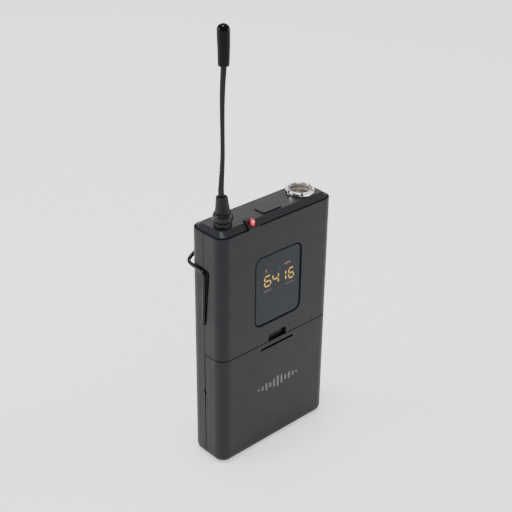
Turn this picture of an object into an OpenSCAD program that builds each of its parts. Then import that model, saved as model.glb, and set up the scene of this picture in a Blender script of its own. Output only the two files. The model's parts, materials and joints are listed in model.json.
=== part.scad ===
// Belt-worn radio transmitter of a lavalier microphone system.
// Origin: middle of the case's underside. X runs across the front, Y to the back, Z up.

/* [Case] */
// Width of the case across its front
case_w = 64; // [62:0.5:66]
// Depth of the case from front face to back face
case_d = 20; // [20:0.5:22]
// Height of the case rim that the top cap drops into
rim_z = 111.7; // [111:0.1:114]
// Radius of the four upright corners
corner_r = 5; // [4.6:0.1:5.4]
// Radius of the edge round the underside
bottom_r = 3.3; // [2.8:0.1:3.6]
// Wall thickness of the mouldings
wall = 1.7; // [1.6:0.1:1.8]
// Distance of the side seam behind the middle of the case
seam_y = 0.9; // [0.5:0.1:1.2]
// Height of the seam between the battery door and the front shell
door_z = 54; // [53.8:0.1:54.4]
// Width of the side seam between the two halves of the case
seam_gap = 0.25; // [0.2:0.05:0.4]
// Width of the seams round the battery door
door_gap = 0.45; // [0.3:0.05:0.5]

/* [Top cap] */
// Width of the seam round the cap
cap_gap = 0.5; // [0.3:0.05:0.6]
// Height of the flat plate above the rim
plate_rise = 2.1; // [1.8:0.1:2.4]
// Width of the flat plate
plate_w = 58; // [56:0.5:59]
// Depth of the flat plate
plate_d = 12.6; // [12:0.2:13]
// Length of the power button
button_w = 10; // [8:0.5:11]
// Depth of the power button
button_d = 5.6; // [5:0.2:6]
// Travel of the power button
button_travel = 0.4; // [0.3:0.05:0.45]

/* [Display] */
// Width of the display window
window_w = 27; // [24:0.2:28]
// Height of the display window
window_h = 33.7; // [32:0.1:35]
// Height of the window's lower edge
window_z = 63.4; // [63:0.1:65]
// Corner radius of the window
window_r = 3.8; // [3:0.1:5]
// Width of the groove round the window
window_gap = 0.5; // [0.3:0.05:0.6]

/* [Antenna] */
// Radius of the fixed collar
collar_r = 4.22; // [4.14:0.02:4.4]
// Radius of the flexible whip
whip_r = 0.9; // [0.8:0.02:0.94]
// Height of the top of the antenna
antenna_top = 196.3; // [180:0.1:210]
// Length of the moulded tip
tip_len = 16.2; // [12:0.2:18]
// Largest radius of the moulded tip
tip_r = 2.5; // [2.3:0.02:2.7]

/* [Socket] */
// Distance of the socket to the right of the middle
socket_x = 21.2; // [20.8:0.1:21.6]
// Inside radius of the socket shell
socket_r = 4.4; // [4.3:0.05:4.5]
// Outside radius of the ring nut
nut_r = 6.2; // [6:0.05:6.5]
// Number of spanner slots in the ring nut
nut_slots = 6; // [4:1:8]

/* [Belt clip] */
// Radius of the clip's spring wire
wire_r = 0.85; // [0.8:0.05:0.95]
// Height of the pivots in the sides of the case
pivot_z = 69.8; // [68:0.1:71]
// Height of the lowest point of the clip's loop
loop_z = 40; // [36:0.5:46]

/* [Batteries] */
// Radius of an AA cell
cell_r = 7.2; // [7:0.05:7.25]
// Length of an AA cell with its button
cell_len = 50.5; // [49.5:0.1:50.5]
// Distance of each cell from the middle
cell_x = 15.6; // [15:0.1:16]

/* [Hidden] */
$fn = 64;

black = [0.07, 0.07, 0.075];
dark = [0.12, 0.12, 0.13];
steel = [0.75, 0.75, 0.77];

front_y = -case_d / 2;
back_y = case_d / 2;
front_in = front_y + wall;
back_in = back_y - wall;
side_in = case_w / 2 - wall;
fit = 0.05;

// lip inside the side seam
lip_t = 0.9;
lip_reach = 1.4;
lip_root = 2;
lip_z = 59;

// top cap
rebate_inset = 0.6;
cap_inset = rebate_inset + cap_gap;
rebate_z = rim_z - 1.2;
cap_edge_z = rim_z + 0.3;
plate_z = rim_z + plate_rise;
cap_wall = 1.6;
button_pos = [0, -2.7];
button_rise = 0.5;
button_gap = 0.2;
flange_t = 0.8;
flange_z = plate_z - cap_wall - 0.1 - flange_t;
plunger_r = 1.6;
plunger_z = flange_z - 2.7;

// raised tongue that carries the status light over the cap's bevel
tongue_x = -13.9;
tongue_foot_w = 6.2;
tongue_top_w = 3.6;
tongue_top_z = rim_z + 2.8;
tongue_knee_z = rim_z + 0.7;
tongue_knee_y = -6.6;
tongue_back_y = -4.8;
tongue_gap = 0.12;
led_r = 1.35;
led_clear = 0.08;
led_y = -8.1;
led_foot_z = rim_z - 1.1;
led_dome_z = rim_z + 2.7;
led_leg_y = -7.3;
led_leg_z = 107;

// battery door and its hinge
hinge_y = 2;
hinge_z = 1.2;
knuckle_r = 1.2;
hinge_pin_r = 0.6;
knuckle_half = 28.9;
ear_clear = 0.15;
corner_swing_r = 1.56;
slot_z = 51.25;
slot_half = 9.6;
slot_h = 1.1;
prise_r = 0.75;
prise_z = 34.6;
prise_step = 0.6;
notch_half = 5.2;
notch_top = 57.8;
notch_r = 1.2;
latch_travel = 0.8;
latch_half = 7;
latch_z = 46;

// antenna, standing near the front left corner of the plate
antenna_pos = [-24.3, -2.2];
base_r = 3.72;
base_top = plate_z + 2.1;
collar_top = plate_z + 5.8;
collar_round = 1.1;
collar_bevel = [0.45, 1.1];
boot_top = plate_z + 12.9;
boot_foot_r = 3.25;
boot_top_r = 2.42;
boot_depth = 2.4;
whip_pivot_z = boot_top - 1;
ball_clear = 0.07;
stud_r = 1.5;
stud_foot_z = 106;

// socket
socket_top = plate_z + 1.4;
nut_top = plate_z + 1.8;
socket_wall = 0.8;
mouth_depth = 1.8;
mouth_step = 0.2;
pin_tip_z = plate_z - 0.7;
shell_foot_z = 97;
socket_floor_z = 98;
insert_h = 9;
pin_circle_r = 2;
pin_r = 0.5;

// belt clip
arm_x = case_w / 2 + 0.15;
arm_y = seam_y;
arm_top_y = seam_y - 0.8;
shoulder_z = 93.9;
loop_y = back_y + 2.3;
foot_y = back_y + 1.5;

// inside
board_y = 1.6;
board_t = 1.2;
screw_x = 25.5;
screw_zs = [62.5, 91];
boss_r = 2.6;
tray_floor_z = 2.7;
tray_t = 1.2;
tray_half = 27.3;
contact_t = 0.4;
spring_h = 1;
cell_z = tray_floor_z + tray_t + contact_t + spring_h;
right_cell_z = cell_z - spring_h + 0.1;
cell_y = -0.2;

// ---- shared outlines ----

module rounded_rect(w, h, r) {
    square([w - 2 * r, h], center = true);
    square([w, h - 2 * r], center = true);
    for (x = [-1, 1], y = [-1, 1])
        translate([x * (w / 2 - r), y * (h / 2 - r)]) circle(r);
}

// a slab standing on the XZ plane, drawn as seen from the front
module front_slab(y0, thickness) {
    translate([0, y0 + thickness, 0]) rotate([90, 0, 0]) linear_extrude(thickness) children();
}

// a bar along X, drawn in the YZ plane
module cross_bar(x0, length) {
    translate([x0, 0, 0]) rotate([90, 0, 90]) linear_extrude(length) children();
}

module footed_outline(w, b, z0, z1) {
    translate([-w / 2, z0 + b]) square([w, z1 - z0 - b]);
    translate([-w / 2 + b, z0]) square([w - 2 * b, b]);
    for (s = [-1, 1]) translate([s * (w / 2 - b), z0 + b]) circle(b);
}

// the case as a solid block, shrunk by inset, with a round edge at its foot
module case_block(inset, z1) {
    w = case_w - 2 * inset;
    d = case_d - 2 * inset;
    r = corner_r - inset;
    b = bottom_r - inset;
    cross_bar(-w / 2 + r, w - 2 * r) footed_outline(d, b, inset, z1);
    front_slab(-d / 2 + r, d - 2 * r) footed_outline(w, b, inset, z1);
    for (a = [0, 1, 2, 3]) {
        cx = (a == 0 || a == 3) ? w / 2 - r : -w / 2 + r;
        cy = a < 2 ? d / 2 - r : -d / 2 + r;
        translate([cx, cy, 0]) rotate([0, 0, 90 * a]) rotate_extrude(angle = 90) {
            translate([0, inset]) square([r - b, z1 - inset]);
            translate([0, inset + b]) square([r, z1 - inset - b]);
            translate([r - b, inset + b]) intersection() {
                circle(b);
                translate([0, -b]) square(b);
            }
        }
    }
}

module case_walls() {
    difference() {
        case_block(0, rim_z);
        case_block(wall, rim_z + 1);
        translate([0, 0, rebate_z])
            linear_extrude(rim_z) rounded_rect(case_w - 2 * rebate_inset,
                case_d - 2 * rebate_inset, corner_r - rebate_inset);
    }
}

// a box given by its lowest and highest corners
module span_box(a, b) {
    translate(a) cube(b - a);
}

module along_x(x0, x1, y, z, r) {
    translate([x0, y, z]) rotate([0, 90, 0]) cylinder(h = x1 - x0, r = r);
}

module along_y(y0, y1, x, z, r) {
    translate([x, y0, z]) rotate([-90, 0, 0]) cylinder(h = y1 - y0, r = r);
}

// ---- case ----

// pockets in both sides where the clip's arms lie, wider in front so that they can swing,
// and the round holes on the seam that the arms turn in
module clip_pockets() {
    depth = 1.2;
    room = 0.25;
    swing = 2.7;
    for (s = [-1, 1]) {
        x0 = s > 0 ? case_w / 2 - depth : -case_w / 2 - 2;
        cross_bar(x0, depth + 2)
            polygon([[arm_y - wire_r - room, pivot_z - wire_r - room],
                [arm_y + wire_r + room, pivot_z - wire_r - room],
                [arm_y + wire_r + room, shoulder_z + 1], [arm_top_y - swing, shoulder_z + 1],
                [arm_top_y - swing, shoulder_z - 2]]);
        cross_bar(x0, depth + 2)
            polygon([[back_y + 2, shoulder_z + 3], [arm_top_y - 2.2, shoulder_z + 1.4],
                [arm_top_y - 2.2, shoulder_z - 1.5], [back_y + 2, shoulder_z + 0.1]]);
        along_x(s > 0 ? side_in - 2 : -case_w, s > 0 ? case_w : -side_in + 2,
            arm_y, pivot_z, wire_r + fit);
    }
}

// a small half-round prising notch in the left side seam
module prising_notch(y, z) {
    along_x(-case_w, -case_w / 2 + 1.1, y, z, prise_r);
}

module back_shell() {
    color(dark) difference() {
        union() {
            intersection() {
                case_walls();
                span_box([-case_w, seam_y + seam_gap / 2, -1], [case_w, case_d, rim_z + 1]);
            }
            // lip that lies behind the front shell's edge and closes the seam
            for (s = [0, 1]) mirror([s, 0, 0]) {
                span_box([side_in - lip_t, seam_y - lip_reach, lip_z],
                    [side_in - fit, seam_y + lip_root, rebate_z - 1]);
                span_box([side_in - lip_t, seam_y + seam_gap / 2, lip_z],
                    [side_in + 0.2, seam_y + lip_root, rebate_z - 1]);
            }
            // screw bosses
            for (x = [-1, 1], z = screw_zs)
                along_y(board_y + board_t + fit, back_in + 0.1, x * screw_x, z, boss_r);
            // hinge ears
            for (s = [-1, 1])
                span_box([s > 0 ? knuckle_half + ear_clear : -side_in - 0.3,
                        seam_y + seam_gap / 2, 0.45],
                    [s > 0 ? side_in + 0.3 : -knuckle_half - ear_clear, 5, 4.5]);
        }
        // round hollow that the door's knuckle turns in
        along_x(-knuckle_half - ear_clear, knuckle_half + ear_clear, hinge_y, hinge_z,
            knuckle_r + 0.25);
        span_box([-knuckle_half - ear_clear, -1, -1],
            [knuckle_half + ear_clear, hinge_y, hinge_z + knuckle_r + 0.25]);
        // room for the door's floor, which hangs straight down when the door is open
        span_box([-knuckle_half - ear_clear, -1, -1],
            [knuckle_half + ear_clear, hinge_y + knuckle_r + 0.15, hinge_z]);
        along_x(-30.7, 30.7, hinge_y, hinge_z, hinge_pin_r + fit);
        clip_pockets();
        // screws with their counterbores
        for (x = [-1, 1], z = screw_zs) {
            along_y(0, case_d, x * screw_x, z, 1.25);
            along_y(back_y - 1.5, case_d, x * screw_x, z, 2.4);
        }
        prising_notch(seam_y + seam_gap / 2, prise_z + prise_step);
    }
}

module tongue() {
    intersection() {
        translate([tongue_x, 0, rebate_z]) linear_extrude(10)
            polygon([[-tongue_foot_w / 2, front_y], [tongue_foot_w / 2, front_y],
                [tongue_top_w / 2, tongue_back_y], [-tongue_top_w / 2, tongue_back_y]]);
        cross_bar(tongue_x - tongue_foot_w, 2 * tongue_foot_w)
            polygon([[front_y, rebate_z], [front_y, tongue_knee_z],
                [tongue_knee_y, tongue_top_z], [tongue_back_y, tongue_top_z],
                [tongue_back_y, plate_z - cap_wall - 0.4], [front_y + 2, rebate_z]]);
    }
}

module at_led(z = 0) {
    translate([tongue_x, led_y, z]) children();
}

module front_shell() {
    color(dark) difference() {
        union() {
            intersection() {
                case_walls();
                span_box([-case_w, -case_d, door_z + door_gap / 2],
                    [case_w, seam_y - seam_gap / 2, rim_z + 1]);
            }
            tongue();
            for (x = [-1, 1], z = screw_zs)
                along_y(front_in - 0.1, board_y - fit, x * screw_x, z, boss_r);
        }
        front_slab(front_y - 1, wall + 2) translate([0, window_z + window_h / 2])
            rounded_rect(window_w, window_h, window_r);
        // finger notch in the lower edge
        front_slab(front_y - 1, wall + 2) {
            translate([0, (door_z + notch_top) / 2 - 1])
                rounded_rect(2 * notch_half, notch_top - door_z + 2, notch_r);
        }
        clip_pockets();
        for (x = [-1, 1], z = screw_zs)
            along_y(front_in + 1.5, seam_y + 2, x * screw_x, z, 0.85);
        at_led(led_foot_z) cylinder(h = 10, r = led_r + led_clear);
        translate([tongue_x, led_leg_y, led_leg_z]) cylinder(h = 10, r = 1);
    }
}

module top_cap() {
    color(black) difference() {
        union() {
            translate([0, 0, rebate_z + fit]) linear_extrude(cap_edge_z - rebate_z - fit)
                rounded_rect(case_w - 2 * cap_inset, case_d - 2 * cap_inset, corner_r - cap_inset);
            hull() {
                translate([0, 0, cap_edge_z - 0.1]) linear_extrude(0.1)
                    rounded_rect(case_w - 2 * cap_inset, case_d - 2 * cap_inset,
                        corner_r - cap_inset, $fn = 48);
                translate([0, 0, plate_z - 0.05]) linear_extrude(0.05)
                    rounded_rect(plate_w, plate_d, 1.8, $fn = 48);
            }
        }
        translate([0, 0, rebate_z - 1]) linear_extrude(plate_z - cap_wall - rebate_z + 1)
            rounded_rect(case_w - 2 * cap_inset - 4.4, case_d - 2 * cap_inset - 5, 1.5);
        translate([button_pos[0], button_pos[1], rim_z]) linear_extrude(10)
            rounded_rect(button_w + 2 * button_gap, button_d + 2 * button_gap, 0.7);
        translate([antenna_pos[0], antenna_pos[1], rim_z]) cylinder(h = 10, r = stud_r + fit);
        translate([socket_x, 0, rim_z - 2])
            cylinder(h = 10, r = socket_r + socket_wall + fit);
        // opening for the tongue
        translate([tongue_x, 0, rebate_z - 1]) linear_extrude(10)
            polygon([[-tongue_foot_w / 2 - tongue_gap, front_y],
                [tongue_foot_w / 2 + tongue_gap, front_y],
                [tongue_top_w / 2 + tongue_gap, tongue_back_y + tongue_gap],
                [-tongue_top_w / 2 - tongue_gap, tongue_back_y + tongue_gap]]);
    }
}

// ---- battery door ----

module battery_door() {
    color(dark) difference() {
        union() {
            difference() {
                intersection() {
                    case_walls();
                    span_box([-case_w, -case_d, -1],
                        [case_w, seam_y + seam_gap / 2 - door_gap, door_z - door_gap / 2]);
                }
                // the side walls' back corners clear the case as the door turns
                along_x(-case_w, case_w, hinge_y, hinge_z, corner_swing_r);
            }
            // floor carried back to the knuckle
            span_box([-knuckle_half, front_y + bottom_r, 0], [knuckle_half, hinge_y, wall]);
            along_x(-knuckle_half, knuckle_half, hinge_y, hinge_z, knuckle_r);
            // guides beside the latch
            for (s = [-1, 1])
                span_box([s > 0 ? latch_half + 0.15 : -latch_half - 1.15, front_in - 0.1,
                        latch_z - latch_travel - 0.2],
                    [s > 0 ? latch_half + 1.15 : -latch_half - 0.15, front_in + 1.2, door_z - 1]);
        }
        along_x(-knuckle_half - 1, knuckle_half + 1, hinge_y, hinge_z, hinge_pin_r + 0.01);
        // relief slot under the flexing strip
        span_box([-slot_half, front_y - 1, slot_z - slot_h / 2],
            [slot_half, front_in + 0.5, slot_z + slot_h / 2]);
        prising_notch(seam_y + seam_gap / 2 - door_gap, prise_z - prise_step);
    }
}

module hinge_pin() {
    color(steel) along_x(-30.5, 30.5, hinge_y, hinge_z, hinge_pin_r);
}

module door_latch() {
    y0 = front_in + 0.1;
    color(black) {
        difference() {
            span_box([-latch_half, y0, latch_z], [latch_half, y0 + 1.4, door_z - 0.3]);
            span_box([2 - latch_half, y0 + 0.7, latch_z + 1],
                [latch_half - 2, y0 + 2, latch_z + 5]);
        }
        span_box([-notch_half + 0.25, y0, door_z - 1],
            [notch_half - 0.25, y0 + 1.4, notch_top - 0.5]);
        // ledge for the finger
        span_box([-3.5, y0 - 0.5, notch_top - 1.6], [3.5, y0 + 0.1, notch_top - 0.9]);
    }
}

// ---- display and controls ----

module display_lens() {
    recess = 0.25;
    color([0.05, 0.06, 0.08]) {
        front_slab(front_y + recess, wall - recess)
            translate([0, window_z + window_h / 2])
            rounded_rect(window_w - 2 * window_gap, window_h - 2 * window_gap,
                window_r - window_gap);
        front_slab(front_in, 0.9)
            translate([0, window_z + window_h / 2])
            rounded_rect(window_w + 3, window_h + 3, window_r);
    }
}

module display_module() {
    color([0.1, 0.12, 0.1]) {
        span_box([-12, front_in + 0.95, 71], [12, front_in + 3.6, 94]);
        // legs down to the board
        for (x = [-10, 10], z = [73, 92])
            along_y(front_in + 3.5, board_y, x, z, 0.8);
    }
}

// lamp with two legs bent back to the board
module status_led() {
    leg_r = 0.25;
    color([0.9, 0.05, 0.1]) {
        at_led() difference() {
            union() {
                translate([0, 0, led_dome_z]) sphere(led_r);
                translate([0, 0, led_foot_z + fit])
                    cylinder(h = led_dome_z - led_foot_z - fit, r = led_r);
            }
            translate([0, 0, led_foot_z + fit - 5]) cube(10, center = true);
        }
        for (s = [-1, 1]) translate([s * 2 * leg_r, 0, 0]) {
            translate([tongue_x, led_leg_y, led_leg_z])
                cylinder(h = led_foot_z + 0.2 - led_leg_z, r = leg_r);
            along_y(led_leg_y - leg_r, board_y, tongue_x, led_leg_z, leg_r);
        }
    }
}

module power_button() {
    top = plate_z + button_rise;
    color(black) translate([button_pos[0], button_pos[1], 0]) {
        translate([0, 0, flange_z + 0.3]) linear_extrude(top - flange_z - 0.3)
            rounded_rect(button_w, button_d, 0.5);
        translate([0, 0, flange_z]) linear_extrude(flange_t)
            rounded_rect(button_w + 1.4, button_d + 0.8, 0.5);
    }
}

module switch_plunger() {
    color([0.2, 0.2, 0.2]) translate([button_pos[0], button_pos[1], plunger_z])
        cylinder(h = flange_z - plunger_z, r = plunger_r);
}

module tact_switch() {
    color(steel) difference() {
        span_box([button_pos[0] - 3, button_pos[1] - 3, plunger_z - 2.4],
            [button_pos[0] + 3, board_y, plunger_z + 1.2]);
        translate([button_pos[0], button_pos[1], plunger_z - button_travel - 0.6])
            cylinder(h = 5, r = plunger_r + 0.1);
    }
}

// ---- antenna ----

module at_antenna(z = 0) {
    translate([antenna_pos[0], antenna_pos[1], z]) children();
}

module antenna_base() {
    color(black) at_antenna() difference() {
        translate([0, 0, plate_z]) cylinder(h = base_top - plate_z, r = base_r);
        translate([0, 0, plate_z - 1]) cylinder(h = 5, r = stud_r + 0.01);
    }
}

module antenna_collar() {
    b = collar_round;
    color(black) at_antenna() difference() {
        rotate_extrude() {
            translate([collar_r - b, base_top + b]) intersection() {
                circle(b);
                translate([0, -b]) square(b);
            }
            translate([0, base_top]) square([collar_r - b, b]);
            polygon([[0, base_top + b], [collar_r, base_top + b],
                [collar_r, collar_top - collar_bevel[1]],
                [collar_r - collar_bevel[0], collar_top], [0, collar_top]]);
        }
        translate([0, 0, collar_top]) sphere(boot_foot_r + ball_clear);
    }
}

module antenna_boot() {
    color(black) at_antenna() difference() {
        union() {
            difference() {
                translate([0, 0, collar_top]) sphere(boot_foot_r);
                translate([0, 0, collar_top + 5]) cube(10, center = true);
                translate([0, 0, collar_top - boot_depth - 5]) cube(10, center = true);
            }
            translate([0, 0, collar_top])
                cylinder(h = boot_top - collar_top - 0.4, r1 = boot_foot_r, r2 = boot_top_r);
            translate([0, 0, boot_top - 0.4])
                cylinder(h = 0.4, r1 = boot_top_r, r2 = boot_top_r - 0.35);
        }
        translate([0, 0, whip_pivot_z]) sphere(whip_r + ball_clear);
        // flared mouth that the whip leans in
        translate([0, 0, whip_pivot_z - 0.35])
            cylinder(h = 1.6, r1 = whip_r + 0.15, r2 = whip_r + 0.75);
    }
}

module antenna_whip() {
    color(black) at_antenna() {
        translate([0, 0, whip_pivot_z])
            cylinder(h = antenna_top - tip_len + 8 - whip_pivot_z, r = whip_r);
        difference() {
            translate([0, 0, whip_pivot_z]) sphere(whip_r);
            translate([0, 0, whip_pivot_z + 1]) cube(2, center = true);
        }
    }
}

module antenna_tip() {
    foot = antenna_top - tip_len;
    color(black) at_antenna() difference() {
        rotate_extrude() {
            intersection() {
                translate([0, antenna_top - tip_r]) circle(tip_r);
                translate([0, antenna_top - tip_r]) square(tip_r);
            }
            polygon([[0, foot], [tip_r - 0.9, foot], [tip_r - 0.45, foot + 0.6],
                [tip_r - 0.3, foot + 3], [tip_r, foot + 9], [tip_r, antenna_top - tip_r],
                [0, antenna_top - tip_r]]);
        }
        translate([0, 0, foot - 1]) cylinder(h = 9.05, r = whip_r + 0.01);
    }
}

module antenna_stud() {
    color(steel) at_antenna() {
        translate([0, 0, stud_foot_z]) cylinder(h = base_top - 0.3 - stud_foot_z, r = stud_r);
        translate([0, 0, plate_z - cap_wall - 2.2]) cylinder(h = 2.1, r = 3, $fn = 6);
    }
}

// ---- socket ----

module at_socket() {
    translate([socket_x, 0, 0]) children();
}

module connector_nut() {
    slot_w = 1.35;
    slot_d = 1.35;
    first_slot = -127;
    b = 0.3;
    color(steel) at_socket() difference() {
        union() {
            translate([0, 0, plate_z]) cylinder(h = b, r1 = nut_r - b, r2 = nut_r);
            translate([0, 0, plate_z + b]) cylinder(h = nut_top - plate_z - 2 * b, r = nut_r);
            translate([0, 0, nut_top - b]) cylinder(h = b, r1 = nut_r, r2 = nut_r - b);
        }
        translate([0, 0, plate_z - 1]) cylinder(h = 5, r = socket_r + socket_wall + 0.01);
        for (i = [0 : nut_slots - 1])
            rotate([0, 0, first_slot + i * 360 / nut_slots])
                translate([4, -slot_w / 2, nut_top - slot_d]) cube([4, slot_w, 2]);
    }
}

module connector_shell() {
    color(steel) at_socket() difference() {
        union() {
            translate([0, 0, shell_foot_z])
                cylinder(h = socket_top - shell_foot_z, r = socket_r + socket_wall);
            translate([0, 0, plate_z - cap_wall - 1.1]) cylinder(h = 1.1, r = nut_r);
        }
        translate([0, 0, socket_floor_z]) cylinder(h = 30, r = socket_r - mouth_step);
        // mouth above the pins, as wide as the plug's nose needs
        translate([0, 0, socket_top - mouth_depth]) cylinder(h = 5, r = socket_r);
    }
}

module connector_insert() {
    color([0.25, 0.2, 0.17]) at_socket() difference() {
        translate([0, 0, socket_floor_z])
            cylinder(h = insert_h, r = socket_r - mouth_step - 0.01);
        for (a = [90, 210, 330]) rotate([0, 0, a]) translate([pin_circle_r, 0, 90])
            cylinder(h = 30, r = pin_r + 0.01);
    }
}

module connector_pins() {
    point = 0.3;
    length = pin_tip_z - point - socket_floor_z;
    color([0.8, 0.7, 0.4]) at_socket() for (a = [90, 210, 330])
        rotate([0, 0, a]) translate([pin_circle_r, 0, socket_floor_z]) {
            cylinder(h = length, r = pin_r);
            translate([0, 0, length]) cylinder(h = point, r1 = pin_r, r2 = pin_r / 2);
        }
}

// ---- belt clip ----

// the left half of the wire's route, from the middle of the loop up to the pivot in the side
clip_half = [
    [0, foot_y, loop_z], [-16.5, foot_y, loop_z], [-19, loop_y, loop_z + 30],
    [-20.8, loop_y, shoulder_z + 6.6], [-30.9, loop_y, shoulder_z + 0.8],
    [-arm_x, loop_y - 3.6, shoulder_z + 0.8], [-arm_x, arm_top_y, shoulder_z],
    [-arm_x, arm_y, pivot_z], [-side_in + 1.2, arm_y, pivot_z]
];
// how far from each corner its bend begins, for the inner points of the half route
clip_bends = [4, 9, 5, 1.85, 1.85, 2.2, 1.4];
bend_steps = 6;
wire_sides = 12;

function unit(v) = v / norm(v);
function bend(a, p, b, cut) =
    let (s = p + cut * unit(a - p), e = p + cut * unit(b - p))
    [for (i = [0 : bend_steps]) let (t = i / bend_steps)
        (1 - t) * (1 - t) * s + 2 * t * (1 - t) * p + t * t * e];
function mirrored(p) = [-p[0], p[1], p[2]];
function backwards(list) = [for (i = [len(list) - 1 : -1 : 0]) list[i]];

clip_left = concat(
    [for (i = [1 : len(clip_half) - 2])
        each bend(clip_half[i - 1], clip_half[i], clip_half[i + 1], clip_bends[i - 1])],
    [clip_half[len(clip_half) - 1]]);
clip_path = concat(backwards([for (p = clip_left) mirrored(p)]), clip_left);

// a closed round bar along a list of points
module round_bar(path, r, sides) {
    last = len(path) - 1;
    tangents = [for (i = [0 : last]) unit(path[min(i + 1, last)] - path[max(i - 1, 0)])];
    normals = [for (i = 0, n = [0, 0, 1]; i <= last;
        i = i + 1, n = unit(n - (n * tangents[min(i, last)]) * tangents[min(i, last)])) n];
    points = [for (i = [0 : last], k = [0 : sides - 1])
        let (n = normals[i], b = cross(tangents[i], n), a = 360 * k / sides)
            path[i] + r * (cos(a) * n + sin(a) * b)];
    sides_faces = [for (i = [0 : last - 1], k = [0 : sides - 1])
        let (m = (k + 1) % sides)
            [i * sides + k, (i + 1) * sides + k, (i + 1) * sides + m, i * sides + m]];
    ends = [[for (k = [0 : sides - 1]) k],
        [for (k = [sides - 1 : -1 : 0]) last * sides + k]];
    polyhedron(points, concat(sides_faces, ends), convexity = 10);
}

module belt_clip() {
    color(black) round_bar(clip_path, wire_r, wire_sides);
}

// ---- inside the case ----

module main_board() {
    color([0.05, 0.25, 0.12]) difference() {
        span_box([-28.5, board_y, 59.5], [28.5, board_y + board_t, 109]);
        // room for the socket
        span_box([socket_x - nut_r - 0.5, 0, shell_foot_z - 2], [30, 5, 111]);
        for (x = [-1, 1], z = screw_zs) along_y(0, 5, x * screw_x, z, 1.4);
    }
}

module rf_shield() {
    low = [-21, -2.4, 96];
    high = [9, board_y, 105];
    sheet = [0.3, 0.3, 0.3];
    color(steel) difference() {
        span_box(low, high);
        span_box(low + sheet, high - sheet + [0, 1, 0]);
    }
}

module battery_tray() {
    top_z = cell_z + cell_len + 0.5;
    back = back_in - 0.15;
    color(dark) difference() {
        union() {
            span_box([-tray_half, cell_y + cell_r + 0.05, tray_floor_z],
                [tray_half, back, top_z + 1.4]);
            span_box([-tray_half, -6.3, top_z], [tray_half, back, top_z + 1.4]);
            span_box([-tray_half, -6.3, tray_floor_z], [tray_half, back, tray_floor_z + tray_t]);
            // rib between the cells and a low rib beside each
            span_box([-2.4, 0, tray_floor_z], [2.4, back, top_z + 1]);
            for (s = [-1, 1])
                span_box([s * (tray_half - 0.8) - 0.8, 0, tray_floor_z],
                    [s * (tray_half - 0.8) + 0.8, back, top_z + 1]);
        }
        for (s = [-1, 1]) translate([s * cell_x, cell_y, tray_floor_z + tray_t])
            cylinder(h = top_z - tray_floor_z - tray_t, r = cell_r + 0.05);
    }
}

module cell() {
    button = 1;
    cylinder(h = cell_len - button, r = cell_r);
    translate([0, 0, cell_len - button]) cylinder(h = button, r = 2.7);
}

module cell_left() {
    color([0.15, 0.15, 0.2]) translate([-cell_x, cell_y, cell_z]) cell();
}

module cell_right() {
    color([0.15, 0.15, 0.2]) translate([cell_x, cell_y, right_cell_z + cell_len])
        mirror([0, 0, 1]) cell();
}

// a conical spring pressed nearly flat, starting from its wide end
module pressed_spring() {
    wide = 4.2;
    narrow = 2;
    turns = 2.5;
    steps = 36;
    wire = 0.24;
    round_bar([for (i = [0 : steps]) let (t = i / steps, r = wide + (narrow - wide) * t)
        [r * cos(360 * turns * t), r * sin(360 * turns * t),
            wire + 0.01 + (spring_h - 2 * wire - 0.02) * t]], wire, 8);
}

module contact_springs() {
    color(steel) {
        translate([-cell_x, cell_y, cell_z - spring_h]) pressed_spring();
        translate([cell_x, cell_y, right_cell_z + cell_len + spring_h])
            mirror([0, 0, 1]) pressed_spring();
    }
}

module contact_plates() {
    low_z = cell_z - spring_h - contact_t;
    high_z = cell_z + cell_len + 0.1;
    color(steel) {
        // strip that joins the two lower contacts in front of the tray's rib
        span_box([-cell_x, -5, low_z], [cell_x, -1, low_z + contact_t]);
        for (s = [-1, 1], z = [low_z, high_z])
            span_box([s * cell_x - 5, -5, z], [s * cell_x + 5, 4.5, z + contact_t]);
    }
}

module case_screws() {
    color(steel) for (x = [-1, 1], z = screw_zs) {
        along_y(-4, back_y - 1.5, x * screw_x, z, 0.84);
        difference() {
            along_y(back_y - 1.5, back_y - 0.4, x * screw_x, z, 2.2);
            for (a = [0, 90]) translate([x * screw_x, back_y - 0.4, z]) rotate([0, a, 0])
                cube([0.5, 1.2, 2.6], center = true);
        }
    }
}

back_shell();
front_shell();
top_cap();
battery_door();
hinge_pin();
door_latch();
display_lens();
display_module();
status_led();
power_button();
switch_plunger();
tact_switch();
antenna_base();
antenna_collar();
antenna_boot();
antenna_whip();
antenna_tip();
antenna_stud();
connector_nut();
connector_shell();
connector_insert();
connector_pins();
belt_clip();
main_board();
rf_shield();
battery_tray();
cell_left();
cell_right();
contact_springs();
contact_plates();
case_screws();
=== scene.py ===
"""Body-worn wireless transmitter of a lavalier microphone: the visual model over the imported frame.
Places come from the frame where it has them. Numbers are in millimetres and mm() turns them into
metres, unless a comment says otherwise."""
import json
import math

import bmesh
import bpy
from mathutils import Matrix, Vector


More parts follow.
